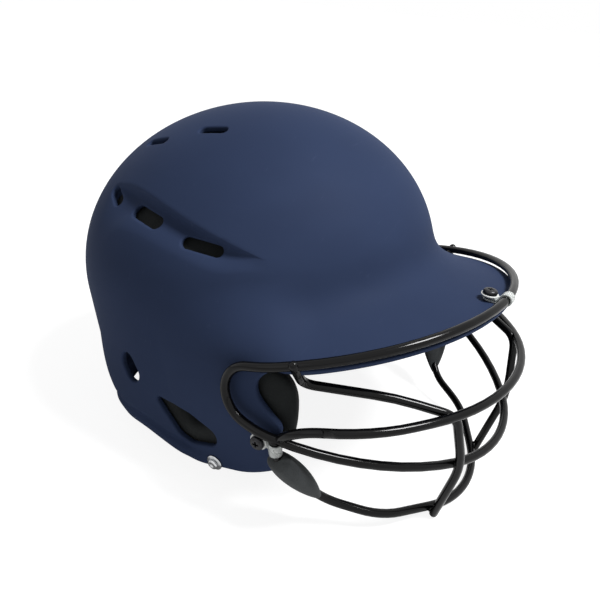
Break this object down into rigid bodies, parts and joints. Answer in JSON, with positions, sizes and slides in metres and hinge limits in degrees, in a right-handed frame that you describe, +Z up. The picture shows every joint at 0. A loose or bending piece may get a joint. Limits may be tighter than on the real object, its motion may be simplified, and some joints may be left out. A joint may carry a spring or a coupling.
{
  "type": "batting helmet with wire face guard",
  "caption": "Moulded batting helmet with brim and ear flaps, foam pads inside, and a bent-wire face guard held on by nylon clips and screws.",
  "frame": {"origin": "middle of the bounding box, on the surface that the helmet stands on", "axes": "+Z up, -Y towards the face guard, +X towards the wearer's left; the helmet leans back onto its nape rim and chin bar"},
  "size_m": [0.23, 0.2955, 0.207],
  "materials": {
    "shell_plastic": "matte navy moulded ABS",
    "liner_foam": "charcoal closed-cell foam",
    "chin_foam": "dark grey covered foam",
    "coated_wire": "glossy black vinyl coating on steel wire",
    "clip_nylon": "milky nylon",
    "screw_steel": "black oxide",
    "washer_nylon": "white nylon",
    "nut_steel": "zinc plated",
    "stud_steel": "nickel plated"
  },
  "bodies": {
    "root": {"shell": "shell_plastic", "crown_pad": "liner_foam", "front_pad": "liner_foam", "rear_pad": "liner_foam", "side_pad_right": "liner_foam", "side_pad_left": "liner_foam", "ear_pad_right": "liner_foam", "ear_pad_left": "liner_foam", "guard_frame": "coated_wire", "nose_bar": "coated_wire", "chin_bar": "coated_wire", "upright_right": "coated_wire", "upright_left": "coated_wire", "chin_pad_right": "chin_foam", "chin_pad_left": "chin_foam", "brim_clip": "clip_nylon", "ear_clip_right": "clip_nylon", "ear_clip_left": "clip_nylon", "brim_screw": "screw_steel", "ear_screw_right": "screw_steel", "ear_screw_left": "screw_steel", "brim_washer": "washer_nylon", "ear_washer_right": "washer_nylon", "ear_washer_left": "washer_nylon", "brim_nut": "nut_steel", "ear_nut_right": "nut_steel", "ear_nut_left": "nut_steel", "chin_stud_right": "stud_steel", "chin_stud_left": "stud_steel"}
  },
  "joints": []
}
